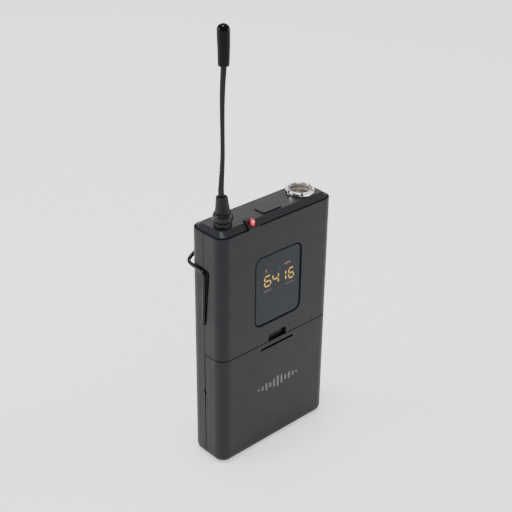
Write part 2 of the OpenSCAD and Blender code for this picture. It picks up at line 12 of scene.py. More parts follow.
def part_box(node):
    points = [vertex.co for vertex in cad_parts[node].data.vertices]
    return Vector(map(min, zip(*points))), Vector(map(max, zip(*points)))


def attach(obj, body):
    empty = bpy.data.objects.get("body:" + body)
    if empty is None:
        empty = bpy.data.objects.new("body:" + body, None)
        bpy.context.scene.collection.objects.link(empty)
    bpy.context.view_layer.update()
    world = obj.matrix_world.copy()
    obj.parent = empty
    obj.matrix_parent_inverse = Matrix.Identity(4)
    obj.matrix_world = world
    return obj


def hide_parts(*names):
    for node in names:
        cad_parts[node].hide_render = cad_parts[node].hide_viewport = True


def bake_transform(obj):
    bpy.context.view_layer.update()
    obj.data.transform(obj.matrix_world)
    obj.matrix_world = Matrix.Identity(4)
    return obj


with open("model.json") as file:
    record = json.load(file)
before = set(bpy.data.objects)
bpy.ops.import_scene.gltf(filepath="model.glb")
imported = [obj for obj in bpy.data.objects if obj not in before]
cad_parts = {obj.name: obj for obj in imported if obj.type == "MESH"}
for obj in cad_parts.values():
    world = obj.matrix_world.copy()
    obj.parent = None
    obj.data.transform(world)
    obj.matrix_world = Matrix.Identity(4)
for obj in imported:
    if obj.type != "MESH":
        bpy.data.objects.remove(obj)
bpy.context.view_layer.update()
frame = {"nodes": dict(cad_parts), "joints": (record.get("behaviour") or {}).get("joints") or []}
NODES = frame["nodes"]


def mm(*values):
    """A length in millimetres as metres, or a point in millimetres as a Vector in metres."""
    return values[0] / 1000 if len(values) == 1 else Vector(values) / 1000


X, Y, Z = range(3)


def lowest(node, axis):
    """Where a CAD node begins along an axis, in millimetres."""
    return round(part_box(node)[0][axis] * 1000, 3)


def highest(node, axis):
    """Where a CAD node ends along an axis, in millimetres."""
    return round(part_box(node)[1][axis] * 1000, 3)


def middle(node, axis):
    """Middle of a CAD node, rounded more coarsely, because a round node's box is a little small."""
    return round((lowest(node, axis) + highest(node, axis)) / 2, 2)


def joint_at(name):
    """Place of a CAD joint, in millimetres."""
    joint = next(j for j in frame["joints"] if j["name"] == name)
    return [round(v * 1000, 3) for v in joint["pos_m"]]


# ---------------------------------------------------------------- camera

# the photo's viewpoint, worked out from the straight edges of the case; angles in degrees
CAMERA_AT = mm(-277.23, -293.0, 311.16)
CAMERA_YAW, CAMERA_PITCH, CAMERA_ROLL = (math.radians(a) for a in (43.016, 28.723, 0.705))
CAMERA_LENS, CAMERA_SENSOR = 76.18, 36


def make_camera():
    """Camera at the photo's place: yaw from +Y towards +X, pitch downwards, then roll."""
    forward = Vector((math.sin(CAMERA_YAW) * math.cos(CAMERA_PITCH),
                      math.cos(CAMERA_YAW) * math.cos(CAMERA_PITCH), -math.sin(CAMERA_PITCH)))
    level = Vector((math.cos(CAMERA_YAW), -math.sin(CAMERA_YAW), 0))
    above = level.cross(forward)
    right = math.cos(CAMERA_ROLL) * level + math.sin(CAMERA_ROLL) * above
    up = -math.sin(CAMERA_ROLL) * level + math.cos(CAMERA_ROLL) * above
    data = bpy.data.cameras.new("camera")
    data.lens = CAMERA_LENS
    data.sensor_width = CAMERA_SENSOR
    data.clip_start, data.clip_end = 0.01, 50
    camera = bpy.data.objects.new("camera", data)
    camera.matrix_world = Matrix.Translation(CAMERA_AT) @ Matrix(
        (right, up, -forward)).transposed().to_4x4()
    bpy.context.scene.collection.objects.link(camera)
    bpy.context.scene.camera = camera


make_camera()

# ---------------------------------------------------------------- materials


class Look:
    """A Principled material with shorthands for the textures that vary it."""

    def __init__(self, name, color, roughness, **sockets):
        self.material = bpy.data.materials.new(name)
        self.material.use_nodes = True
        self.material.diffuse_color = (*color, 1)
        self.tree = self.material.node_tree
        self.shader = self.tree.nodes["Principled BSDF"]
        self.shader.inputs["Base Color"].default_value = (*color, 1)
        self.shader.inputs["Roughness"].default_value = roughness
        for socket, value in sockets.items():
            self.shader.inputs[socket.replace("_", " ")].default_value = value
        self.place = self.tree.nodes.new("ShaderNodeTexCoord").outputs["Object"]
        self.relief = None

    def node(self, kind, inputs=(), **settings):
        """A shader node, with each input linked to a socket or set to a value."""
        made = self.tree.nodes.new("ShaderNode" + kind)
        for key, value in settings.items():
            setattr(made, key, value)
        for key, value in dict(inputs).items():
            if isinstance(value, bpy.types.NodeSocket):
                self.tree.links.new(value, made.inputs[key])
            else:
                made.inputs[key].default_value = value
        return made

    def set(self, socket, value):
        """Links a value to a socket of the Principled shader."""
        self.tree.links.new(value, self.shader.inputs[socket])

    def stretched(self, scale):
        """Object coordinates scaled along each axis."""
        return self.node("Mapping", {"Vector": self.place, "Scale": scale}).outputs["Vector"]

    def noise(self, size, detail=2.0, stretch=None, seed=0.0):
        """Noise whose features are about size millimetres across."""
        where = self.stretched(stretch) if stretch else self.place
        return self.node("TexNoise", {"Vector": where, "Scale": 1000 / size, "Detail": detail,
                                      "W": seed}, noise_dimensions="4D").outputs["Fac"]

    def spread(self, factor, low, high, start=0.3, stop=0.7):
        """The factor's range start to stop, turned into the range low to high."""
        return self.node("MapRange", {"Value": factor, "From Min": start, "From Max": stop,
                                      "To Min": low, "To Max": high}).outputs["Result"]

    def mix(self, factor, first, second):
        """First colour where the factor is 0, second where it is 1. The node has the same sockets
        several times over, and its colours are inputs 6 and 7 and output 2."""
        made = self.node("Mix", {"Factor": factor}, data_type="RGBA")
        for socket, value in ((made.inputs[6], first), (made.inputs[7], second)):
            if isinstance(value, bpy.types.NodeSocket):
                self.tree.links.new(value, socket)
            else:
                socket.default_value = (*value, 1)
        return made.outputs[2]

    def combine(self, operation, first, second):
        """Arithmetic on two values, such as MULTIPLY."""
        return self.node("Math", {0: first, 1: second}, operation=operation).outputs[0]

    def distance(self, scale, point):
        """Distance in metres from a point, both scaled along each axis."""
        inputs = {0: self.stretched(scale), 1: Vector(point) * Vector(scale)}
        return self.node("VectorMath", inputs, operation="DISTANCE").outputs["Value"]

    def bump(self, height, depth, strength=1.0):
        """Adds relief of about depth millimetres over what is there already."""
        inputs = {"Height": height, "Distance": depth / 1000, "Strength": strength}
        if self.relief is not None:
            inputs["Normal"] = self.relief
        self.relief = self.node("Bump", inputs).outputs["Normal"]
        self.set("Normal", self.relief)

    def soften(self, radius):
        """Rounds sharp edges in the shading over radius millimetres, and returns the edge mask."""
        soft = self.node("Bevel", {"Radius": radius / 1000}, samples=6).outputs["Normal"]
        flat = self.node("NewGeometry").outputs["Normal"]
        alike = self.node("VectorMath", {0: soft, 1: flat}, operation="DOT_PRODUCT")
        self.relief = soft
        self.set("Normal", soft)
        return self.spread(alike.outputs["Value"], 1.0, 0.0, 0.72, 0.985)


def tint(color, factor):
    """A colour made lighter or darker."""
    return tuple(min(1.0, c * factor) for c in color)


def moulded(name, color, roughness, grain=0.22, grain_depth=0.012, wear=0.35, edge=0.22,
            **sockets):
    """Moulded plastic: fine spark-eroded grain, faint cloudiness, edges rubbed a little smooth.
    Grain is the size of its features, and edge the radius that sharp edges are softened by."""
    look = Look(name, color, roughness, **sockets)
    edges = look.soften(edge)
    cloud = look.noise(14, 3.0, seed=1.3)
    speck = look.noise(0.5, 2.0, seed=4.1)
    body = look.mix(look.spread(cloud, 0.0, 1.0), tint(color, 0.94), tint(color, 1.07))
    body = look.mix(look.spread(speck, 0.0, 0.35, 0.45, 0.75), body, tint(color, 1.5))
    patches = look.spread(look.noise(2.6, 3.0, seed=7.7), 0.15, wear, 0.42, 0.62)
    scuff = look.combine("MULTIPLY", edges, patches)
    look.set("Base Color", look.mix(scuff, body, tint(color, 2.6)))
    satin = look.spread(look.noise(5.5, 3.0, seed=2.2), roughness - 0.025, roughness + 0.03)
    rubbed = look.combine("MULTIPLY", edges, look.spread(cloud, 0.06, 0.14))
    look.set("Roughness", look.combine("SUBTRACT", satin, rubbed))
    look.bump(look.noise(grain, 2.0, seed=0.4), grain_depth)
    return look


def metal(name, color, roughness, brushed=None, spread=0.08, depth=0.004, edge=0.12):
    """Bare or plated metal with fine hairlines and slightly uneven polish."""
    look = Look(name, color, roughness, Metallic=1.0)
    look.soften(edge)
    stain = look.noise(1.8, 3.0, seed=3.1)
    look.set("Base Color", look.mix(look.spread(stain, 0.0, 1.0), tint(color, 0.86),
                                    tint(color, 1.06)))
    lines = look.noise(0.18, 2.0, stretch=brushed, seed=5.0)
    look.set("Roughness", look.spread(lines, max(0.02, roughness - spread), roughness + spread))
    look.bump(lines, depth)
    return look


def shade_strip_look():
    """Soft black rubber laid in the grooves and gaps as painted shade."""
    look = Look("painted_shade_rubber", (0.0012, 0.0012, 0.0014), 0.6, Specular_IOR_Level=0.04)
    look.set("Roughness", look.spread(look.noise(0.8), 0.5, 0.7))
    look.bump(look.noise(0.4), 0.004)
    return look


def lens_look():
    """Smoked window: polished, with a trace of handling on it."""
    look = Look("smoked_window", (0.011, 0.014, 0.019), 0.3, Coat_Weight=0.04,
                Coat_Roughness=0.12, Specular_IOR_Level=0.16,
                Specular_Tint=(0.88, 0.94, 1.0, 1.0))
    haze = look.spread(look.noise(9, 4.0, seed=2.0), 0, 1)
    look.set("Base Color", look.mix(haze, (0.003, 0.0055, 0.0105), (0.004, 0.007, 0.0125)))
    look.set("Roughness", look.spread(look.noise(3.5, 4.0, seed=8.0), 0.24, 0.36))
    look.bump(look.noise(6, 2.0), 0.004)
    return look


def wire_look():
    """Lacquered spring wire of the clip, worn through in a few spots."""
    look = Look("lacquered_wire", (0.003, 0.003, 0.0035), 0.34, Coat_Weight=0.2,
                Coat_Roughness=0.06, Specular_IOR_Level=0.1)
    worn = look.spread(look.noise(2.2, 4.0, seed=6.0), 0, 1, 0.66, 0.8)
    look.set("Base Color", look.mix(worn, (0.004, 0.004, 0.0046), (0.05, 0.048, 0.046)))
    look.set("Roughness", look.spread(look.noise(0.8, 3.0, seed=1.0), 0.28, 0.42))
    look.bump(look.noise(0.7, 3.0, seed=9.0), 0.012)
    return look


def socket_look():
    """Nickel of the socket shell, with painted shade as a dark ring between its bore and the ring
    nut.
    """
    look = metal("socket_nickel", (0.62, 0.6, 0.58), 0.4, brushed=(1, 1, 5))
    bright = look.shader.inputs["Base Color"].links[0].from_socket
    socket = mm(middle("connector_nut", X), middle("connector_nut", Y), 0)
    # painted shade: the shell is darkened from its bore's edge out to the ring nut
    painted_shade_ring = look.spread(look.distance((1, 1, 0), socket), 0, 1, mm(4.45), mm(4.6))
    look.set("Base Color", look.mix(painted_shade_ring, bright, (0.16, 0.155, 0.15)))
    return look


def board_look():
    """Green solder mask over tracks, with tinned pads."""
    look = Look("circuit_board", (0.01, 0.09, 0.04), 0.35)
    tracks = look.node("TexBrick", {"Vector": look.place, "Scale": 420.0,
                                    "Mortar Size": 0.012}).outputs["Fac"]
    pads = look.node("TexVoronoi", {"Vector": look.place, "Scale": 380.0},
                     distance="CHEBYCHEV").outputs["Distance"]
    mask = look.mix(look.spread(tracks, 0, 1, 0, 1), (0.01, 0.085, 0.035), (0.02, 0.15, 0.06))
    look.set("Base Color", look.mix(look.spread(pads, 1, 0, 0.06, 0.09), mask,
                                    (0.6, 0.6, 0.58)))
    look.set("Roughness", look.spread(look.noise(4), 0.28, 0.42))
    look.bump(tracks, 0.02)
    return look


def glow_look(name, color, strength):
    """Light-emitting segment whose brightness is a little uneven."""
    look = Look(name, tint(color, 0.1), 0.4, Emission_Strength=strength,
                Specular_IOR_Level=0.2)
    uneven = look.noise(0.9, 2.0, seed=5.5)
    look.set("Emission Color", look.mix(look.spread(uneven, 0, 1), tint(color, 0.75),
                                        tint(color, 1.1)))
    look.bump(uneven, 0.004)
    return look


def print_look():
    """Grey pad-printed ink, thin in places."""
    look = Look("grey_print", (0.09, 0.093, 0.093), 0.6, Specular_IOR_Level=0.3)
    thin = look.noise(0.45, 4.0, seed=2.5)
    look.set("Base Color", look.mix(look.spread(thin, 0, 1, 0.3, 0.55), (0.05, 0.052, 0.052),
                                    (0.105, 0.108, 0.108)))
    look.bump(thin, 0.006)
    return look


def led_look():
    """Red lamp: its glow with a painted highlight, a white hot spot on the front left of its dome,
    darkening away from it.
    """
    look = Look("status_light", (0.12, 0.002, 0.008), 0.2, Emission_Strength=2.1,
                Specular_IOR_Level=0.25)
    dome_y, dome_r = -8.1, 1.35
    dome = mm(middle("status_led", X), dome_y, highest("status_led", Z) - dome_r)
    # the white hot spot is partly the lamp's glow and partly a painted highlight
    glow_and_highlight_spot = dome + mm(dome_r) * Vector((-0.3, -0.78, 0.3)).normalized()
    away = look.distance((1, 1, 0.6), glow_and_highlight_spot)
    body = look.mix(look.spread(away, 0, 1, mm(0.4), mm(1.5)), (0.6, 0.012, 0.06),
                    (0.02, 0.0005, 0.004))
    look.set("Emission Color", look.mix(look.spread(away, 0, 1, 0, mm(0.5)), (1.0, 0.7, 0.66),
                                        body))
    look.set("Roughness", look.spread(look.noise(0.6), 0.14, 0.28))
    return look


def sleeve_look():
    """Printed sleeve of a dry cell: pale grey with a darker band at the button end."""
    look = Look("cell_sleeve", (0.5, 0.5, 0.48), 0.35, Coat_Weight=0.3)
    dark, pale = (0.05, 0.09, 0.16), (0.55, 0.55, 0.53)
    place = look.node("SeparateXYZ", {"Vector": look.place}).outputs
    # the right cell stands on its button, the left one on its foot
    right_pale = look.spread(place["Z"], 0, 1, mm(19.2), mm(19.3))
    left_pale = look.spread(place["Z"], 1, 0, mm(41.2), mm(41.3))
    left = look.spread(place["X"], 1, 0, mm(-1), mm(1))
    sleeve = look.mix(left, look.mix(right_pale, dark, pale), look.mix(left_pale, dark, pale))
    scuffs = look.spread(look.noise(3.0, 5.0, seed=3.3), 0, 0.3, 0.6, 0.75)
    look.set("Base Color", look.mix(scuffs, sleeve, (0.3, 0.3, 0.3)))
    look.set("Roughness", look.spread(look.noise(1.5), 0.25, 0.42))
    look.bump(look.noise(2.0, 4.0), 0.01)
    return look


def make_looks():
    """Every look by its short name."""
    return {
        "case": moulded("case_plastic", (0.0068, 0.007, 0.0085), 0.5, Specular_IOR_Level=0.215,
                        Specular_Tint=(0.94, 0.97, 1.0, 1.0)),
        "cap": moulded("cap_plastic", (0.0085, 0.009, 0.0105), 0.4, grain_depth=0.005,
                       Specular_IOR_Level=0.235, Specular_Tint=(0.93, 0.97, 1.0, 1.0)),
        "tray": moulded("tray_plastic", (0.02, 0.02, 0.021), 0.58, Specular_IOR_Level=0.3),
        "rubber": moulded("antenna_rubber", (0.0064, 0.0063, 0.0068), 0.5, grain=0.35,
                          grain_depth=0.01, wear=0.2, edge=0.18, Specular_IOR_Level=0.2),
        "hard": moulded("antenna_fitting", (0.006, 0.0063, 0.0075), 0.36, grain=0.4,
                        grain_depth=0.004, edge=0.2, Specular_IOR_Level=0.2),
        "tip": moulded("antenna_tip_gloss", (0.0015, 0.0015, 0.0016), 0.14, grain=0.7,
                       grain_depth=0.003, wear=0.2, Specular_IOR_Level=0.11),
        "steel": metal("plated_steel", (0.62, 0.62, 0.63), 0.3),
        "spring": metal("spring_steel", (0.55, 0.55, 0.57), 0.26),
        "chrome": metal("bright_nickel", (0.93, 0.93, 0.92), 0.15, brushed=(1, 1, 6), edge=0.45),
        "nickel": socket_look(),
        "gold": metal("gold_pins", (0.75, 0.66, 0.5), 0.22),
        "insert": moulded("socket_insulator", (0.46, 0.44, 0.42), 0.5),
        "latch": moulded("latch_plastic", (0.018, 0.0188, 0.021), 0.35, wear=0.2,
                         Specular_IOR_Level=0.12),
        "black_part": moulded("small_black_part", (0.02, 0.02, 0.021), 0.42),
        # black strips that stand for the shade in the window groove and the gap above the door
        "groove_shade": shade_strip_look(),
        "lens": lens_look(),
        "wire": wire_look(),
        "board": board_look(),
        "glow": glow_look("lit_segments", (1.0, 0.56, 0.075), 1.0),
        "icon": glow_look("faint_segments", (1.0, 0.55, 0.16), 0.14),
        "dim": glow_look("dim_segments", (0.5, 0.4, 0.32), 0.06),
        "print": print_look(),
        "led": led_look(),
        "sleeve": sleeve_look(),
    }


LOOKS = make_looks()

# ---------------------------------------------------------------- mesh makers


def piece(name, vertices, faces, look, body, smooth_angle=35.0, replaces=(), ride=True):
    """A mesh object from points in metres, with its normals outward, riding on a body.
    With ride off, it is attached to no body."""
    mesh = bpy.data.meshes.new(name)
    mesh.from_pydata([tuple(v) for v in vertices], [], faces)
    work = bmesh.new()
    work.from_mesh(mesh)
    bmesh.ops.remove_doubles(work, verts=work.verts, dist=1e-7)
    bmesh.ops.recalc_face_normals(work, faces=work.faces)
    work.to_mesh(mesh)
    work.free()
    mesh.materials.append(LOOKS[look].material)
    made = bpy.data.objects.new(name, mesh)
    bpy.context.scene.collection.objects.link(made)
    mesh.shade_smooth()
    mesh.set_sharp_from_angle(angle=math.radians(smooth_angle))
    if ride:
        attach(made, body)
    if replaces:
        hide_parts(*replaces)
    return made


def ring_faces(rings, sides):
    """Faces of a skin over rings of points, with a face over each end."""
    faces = []
    for i in range(rings - 1):
        for k in range(sides):
            n = (k + 1) % sides
            faces.append((i * sides + k, i * sides + n, (i + 1) * sides + n, (i + 1) * sides + k))
    faces.append(tuple(range(sides)))
    faces.append(tuple((rings - 1) * sides + k for k in range(sides)))
    return faces


def tube(path, radii, sides):
    """Rings round a path of points, carried along without twisting. Points and radii in metres."""
    points, count = [], len(path)
    across = None
    for i, p in enumerate(path):
        along = (path[min(i + 1, count - 1)] - path[max(i - 1, 0)]).normalized()
        if across is None:
            across = along.orthogonal().normalized()
        across = (across - across.dot(along) * along).normalized()
        other = along.cross(across)
        for k in range(sides):
            a = 2 * math.pi * k / sides
            points.append(p + radii[i] * (math.cos(a) * across + math.sin(a) * other))
    return points, ring_faces(count, sides)


def turned(profile, sides=64, at=(0, 0), lean=None):
    """A profile of (radius, height) in millimetres turned about a vertical line at (x, y).
    lean moves each height's centre sideways: a function of the height giving (x, y) in mm."""
    points = []
    for r, z in profile:
        dx, dy = lean(z) if lean else (0, 0)
        for k in range(sides):
            a = 2 * math.pi * k / sides
            points.append(mm(at[0] + dx + r * math.cos(a), at[1] + dy + r * math.sin(a), z))
    return points, ring_faces(len(profile), sides)


def arc(cx, cz, r, a0, a1, steps=8):
    """Points of an arc about (cx, cz), from the angle a0 to a1 in degrees."""
    return [(cx + r * math.cos(math.radians(a0 + (a1 - a0) * i / steps)),
             cz + r * math.sin(math.radians(a0 + (a1 - a0) * i / steps)))
            for i in range(steps + 1)]


def flat_shapes(outlines, y, thickness):
    """Thin slabs on a plane facing the front, from outlines of (x, z) in millimetres."""
    points, faces = [], []
    for outline in outlines:
        first, n = len(points), len(outline)
        for depth in (y, y + thickness):
            points += [mm(x, depth, z) for x, z in outline]
        faces.append(tuple(first + k for k in range(n)))
        faces.append(tuple(first + n + k for k in range(n)))
        faces += [(first + k, first + (k + 1) % n, first + n + (k + 1) % n, first + n + k)
                  for k in range(n)]
    return points, faces


def rounded_outline(width, height, radius, middle_z, steps=10):
    """Outline of (x, z) points of a rectangle with round corners, centred on x = 0."""
    a, b = width / 2 - radius, height / 2 - radius
    outline = []
    for k, (sx, sz) in enumerate(((1, 1), (-1, 1), (-1, -1), (1, -1))):
        outline += arc(sx * a, middle_z + sz * b, radius, 90 * k, 90 * k + 90, steps)
    return outline


def block(x, z, width, height):
    """Outline of a rectangle from its lower left corner."""
    return [(x, z), (x + width, z), (x + width, z + height), (x, z + height)]


def rounded_bar(x, z0, width, height, steps=5):
    """Outline of an upright bar with round ends, from the middle of its foot."""
    r = width / 2
    top = [(x + r * math.cos(a), z0 + height - r + r * math.sin(a))
           for a in (math.pi * i / steps for i in range(steps + 1))]
    bottom = [(x - r * math.cos(a), z0 + r - r * math.sin(a))
              for a in (math.pi * i / steps for i in range(steps + 1))]
    return top + bottom


def read_curve(samples, z):
    """Smooth reading of a table of (height, value) pairs, held level beyond its ends."""
    if z <= samples[0][0]:
        return samples[0][1]
    if z >= samples[-1][0]:
        return samples[-1][1]
    last = len(samples) - 1
    i = max(k for k in range(last) if samples[k][0] <= z)

    def slope(k):
        if k in (0, last):
            return 0.0
        (za, va), (zb, vb) = samples[k - 1], samples[k + 1]
        return (vb - va) / (zb - za)

    (z0, v0), (z1, v1) = samples[i], samples[i + 1]
    h, t = z1 - z0, (z - z0) / (z1 - z0)
    return ((2 * t ** 3 - 3 * t ** 2 + 1) * v0 + (t ** 3 - 2 * t ** 2 + t) * h * slope(i)
            + (3 * t ** 2 - 2 * t ** 3) * v1 + (t ** 3 - t ** 2) * h * slope(i + 1))


# ---------------------------------------------------------------- CAD nodes' finishes

FINISHES = {
    "back_shell": "case", "front_shell": "case", "battery_door": "case", "top_cap": "cap",
    "door_latch": "latch", "power_button": "cap", "switch_plunger": "black_part",
    "display_lens": "lens", "display_module": "black_part", "status_led": "led",
    "tact_switch": "steel", "antenna_base": "hard", "antenna_collar": "hard",
    "antenna_stud": "steel", "connector_nut": "chrome", "connector_shell": "nickel",
    "connector_insert": "insert", "connector_pins": "gold", "main_board": "board",
    "rf_shield": "steel", "battery_tray": "tray", "contact_springs": "spring",
    "contact_plates": "steel", "case_screws": "steel", "hinge_pin": "steel",
    "antenna_boot": "rubber", "antenna_whip": "rubber", "antenna_tip": "tip",
    "belt_clip": "wire", "cell_left": "sleeve", "cell_right": "sleeve",
}
for node, look in FINISHES.items():
    data = NODES[node].data
    data.materials.clear()
    data.materials.append(LOOKS[look].material)

# ---------------------------------------------------------------- antenna

*ANTENNA, WHIP_PIVOT = joint_at("antenna_fore_aft_flex")
COLLAR_TOP, BOOT_TOP = highest("antenna_collar", Z), highest("antenna_boot", Z)
TIP_FOOT, TIP_TOP = lowest("antenna_tip", Z), highest("antenna_tip", Z)
WHIP_FOOT = WHIP_PIVOT - 0.5
# how many rings of points the whip's sleeve has, and how far apart
WHIP_RINGS, WHIP_PITCH = 104, 0.6
# the whip is slightly curved: the direction to the right in the photo, as (x, y), how far the top
# of the boot stands off the antenna's axis that way, and as (height, value) pairs how far the whip
# does, and the whip's radius
SIDEWAYS = (0.731, -0.682)
BOOT_OFF = -0.32
WHIP_OFF = [(124.0, -0.35), (128.5, -0.6), (133.0, -0.45), (138.0, -0.15), (144.0, 0.08),
            (152.0, 0.08), (160.0, 0.03), (167.0, 0.07), (173.0, 0.26), (180.6, 0.62),
            (188.0, 0.65), (196.3, 0.52)]
WHIP_RADIUS = [(126.0, 1.28), (129.0, 1.26), (132.0, 1.16), (139.0, 1.03), (147.0, 0.96),
               (158.0, 0.97), (167.0, 1.06), (178.0, 1.2), (184.0, 1.22)]


def whip_lean(z):
    """Where the whip's middle is at a height, from the antenna's axis."""
    off = read_curve(WHIP_OFF, z)
    return off * SIDEWAYS[0], off * SIDEWAYS[1]


def boot_lean(z):
    """The soft boot leans a little with the whip."""
    off = BOOT_OFF * max(0.0, min(1.0, (z - COLLAR_TOP) / (BOOT_TOP - COLLAR_TOP)))
    return off * SIDEWAYS[0], off * SIDEWAYS[1]


def make_boot():
    """Tapered boot on a ball that sits in the collar, open at its top round the whip."""
    foot_r, top_r, ball_depth, lip = 3.24, 2.46, 2.4, 0.42
    boot = [(0.2, COLLAR_TOP - ball_depth), (2.1, COLLAR_TOP - ball_depth)]
    boot += arc(0, COLLAR_TOP, foot_r, -46, -4, 10)
    boot += [(foot_r, COLLAR_TOP + 0.1), (3.16, COLLAR_TOP + 0.5), (3.02, COLLAR_TOP + 1.6),
             (2.8, COLLAR_TOP + 3.4), (top_r + 0.02, BOOT_TOP - 0.9)]
    boot += arc(top_r - lip, BOOT_TOP - lip, lip, 0, 90, 7)
    boot += [(1.58, BOOT_TOP - 0.02), (1.45, BOOT_TOP - 0.2), (1.3, BOOT_TOP - 0.7),
             (0.2, BOOT_TOP - 1.2)]
    points, faces = turned(boot, 72, ANTENNA, boot_lean)
    piece("boot_sleeve", points, faces, "rubber", "antenna_foot",
          replaces=["antenna_boot"])


def make_whip():
    """Flexible whip, thicker at both ends, from inside the boot to inside the tip."""
    heights = [WHIP_FOOT + WHIP_PITCH * i for i in range(WHIP_RINGS)]
    path = []
    for z in heights:
        dx, dy = whip_lean(z)
        path.append(mm(ANTENNA[0] + dx, ANTENNA[1] + dy, z))
    points, faces = tube(path, [mm(read_curve(WHIP_RADIUS, z)) for z in heights], 24)
    whip = piece("whip_sleeve", points, faces, "rubber", "antenna",
                 replaces=["antenna_whip"], ride=False)
    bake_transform(whip)


def make_tip():
    """Moulded tip, a little wider towards its round top."""
    wide, narrow = 2.58, 2.3
    tip = [(0.3, TIP_FOOT + 0.3), (1.3, TIP_FOOT + 0.05)]
    tip += arc(narrow - 0.5, TIP_FOOT + 0.5, 0.5, -90, -8, 6)
    tip += [(narrow + 0.02, TIP_FOOT + 1.5), (narrow + 0.1, TIP_FOOT + 4),
            (narrow + 0.2, TIP_FOOT + 8), (wide - 0.01, TIP_FOOT + 11), (wide, TIP_TOP - 2.6)]
    tip += arc(0, TIP_TOP - wide, wide, 3, 88, 14)
    points, faces = turned(tip, 64, ANTENNA, whip_lean)
    piece("whip_end_cap", points, faces, "tip", "antenna", 60.0,
          replaces=["antenna_tip"])


make_boot()
make_whip()
make_tip()

# ---------------------------------------------------------------- belt clip

# the pivots lie on the seam between the two halves of the case
SEAM_Y, PIVOT_Z = joint_at("belt_clip_pivot")[Y:]
ARM_X, ARM_TOP_Y, SHOULDER_Z = 32.15, 0.1, 93.9
LOOP_Y, FOOT_Y, LOOP_Z = 12.3, 11.5, 40.0
WIRE_R = 0.85
# corners of the wire's left half, from the middle of its foot to its pivot in the case, and how far
# from each corner but the first and last its bend begins
CLIP_CORNERS = [(0, FOOT_Y, LOOP_Z), (-16.5, FOOT_Y, LOOP_Z), (-19, LOOP_Y, LOOP_Z + 30),
                (-20.8, LOOP_Y, SHOULDER_Z + 6.6), (-30.9, LOOP_Y, SHOULDER_Z + 0.8),
                (-ARM_X, LOOP_Y - 3.6, SHOULDER_Z + 0.8), (-ARM_X, ARM_TOP_Y, SHOULDER_Z),
                (-ARM_X, SEAM_Y, PIVOT_Z), (-29.1, SEAM_Y, PIVOT_Z)]
CLIP_BENDS = [4, 9, 5, 2.4, 1.35, 2.2, 1.4]
BEND_STEPS = 14


def make_clip():
    """Belt clip of one bent wire: the left half's path is mirrored for the right."""
    corners = [Vector(c) for c in CLIP_CORNERS]
    half = []
    for a, p, b, cut in zip(corners, corners[1:], corners[2:], CLIP_BENDS):
        start = p + cut * (a - p).normalized()
        stop = p + cut * (b - p).normalized()
        for i in range(BEND_STEPS + 1):
            t = i / BEND_STEPS
            half.append((1 - t) ** 2 * start + 2 * t * (1 - t) * p + t * t * stop)
    half.append(corners[-1])
    other = [Vector((-p.x, p.y, p.z)) for p in reversed(half)]
    path = [p / 1000 for p in other + half]
    points, faces = tube(path, [mm(WIRE_R)] * len(path), 28)
    piece("clip_wire", points, faces, "wire", "clip", 50.0, replaces=["belt_clip"])


make_clip()

# ---------------------------------------------------------------- black strips as painted shade in grooves and gaps

SIDE_X, FRONT_Y, CORNER_R = highest("back_shell", X), lowest("front_shell", Y), 5.0
# how far the window's lens reaches behind the shell all round, and where the finger notch ends
LENS_FLANGE = 1.5
NOTCH_X = 5.4


def make_window_groove_shade():
    """Black ring that lies in the groove round the window and over the lens edge: painted shade that
    darkens the groove.
    """
    clearance, radius, groove = 0.04, 3.8, 0.72
    front, back = FRONT_Y + 0.1, FRONT_Y + 0.24
    width, height = (highest("display_lens", axis) - lowest("display_lens", axis)
                     - 2 * LENS_FLANGE - clearance for axis in (X, Z))
    middle_z = middle("display_lens", Z)
    outer = rounded_outline(width, height, radius, middle_z)
    inner = rounded_outline(width - 2 * groove, height - 2 * groove, radius - groove, middle_z)
    n = len(outer)
    points = [mm(x, y, z) for ring, y in ((outer, front), (inner, front), (inner, back),
                                          (outer, back)) for x, z in ring]
    faces = [(i * n + k, i * n + (k + 1) % n, (i + 1) % 4 * n + (k + 1) % n, (i + 1) % 4 * n + k)
             for i in range(4) for k in range(n)]
    # painted shade: a black ring in the groove round the window
    piece("window_groove_shade", points, faces, "groove_shade", "case")


def front_outline(inset, side):
    """Path of (x, y) points inside the case's outline, from the side seam to the finger notch."""
    path = [(SIDE_X - inset, SEAM_Y - 0.4), (SIDE_X - inset, FRONT_Y + CORNER_R)]
    path += arc(SIDE_X - CORNER_R, FRONT_Y + CORNER_R, CORNER_R - inset, 0, -90, 10)[1:]
    path.append((NOTCH_X, FRONT_Y + inset))
    return [(side * x, y) for x, y in path]


def make_door_gap_shade():
    """Black strips in the gap above the battery door, one on each side of the finger notch: painted
    shade that darkens the gap.
    """
    bottom, top = highest("battery_door", Z) + 0.06, lowest("front_shell", Z) - 0.01
    for name, side in (("left", -1), ("right", 1)):
        outer, inner = front_outline(0.08, side), front_outline(0.45, side)
        n = len(outer)
        points = [mm(x, y, z) for path, z in ((outer, bottom), (outer, top), (inner, top),
                                              (inner, bottom)) for x, y in path]
        faces = [(i * n + k, i * n + k + 1, (i + 1) % 4 * n + k + 1, (i + 1) % 4 * n + k)
                 for i in range(4) for k in range(n - 1)]
        faces += [tuple(i * n for i in range(4)), tuple(i * n + n - 1 for i in range(4))]
        # painted shade: black strips fill the gap so that it is dark
        piece(f"door_gap_shade_{name}", points, faces, "groove_shade", "case")


make_window_groove_shade()
make_door_gap_shade()

# ---------------------------------------------------------------- display

# the lit marks are slabs sunk in the window: how far they stand proud of it, and their thickness
MARK_RISE, MARK_DEPTH = 0.03, 0.05
# which of its segments, a at the top to g in the middle, each digit lights
SEGMENTS = {"6": "afgedc", "4": "fgbc", "1": "bc"}
# digit, left and right edge, foot: the row steps down to the right, as in the photo
DIGITS = [("6", -8.1, -4.1, 81.7), ("4", -3.4, 0.4, 81.2), ("1", 3.0, 4.7, 80.8),
          ("6", 5.9, 9.3, 80.8)]
DIGIT_HEIGHT, SEGMENT_WIDTH = 5.4, 0.6


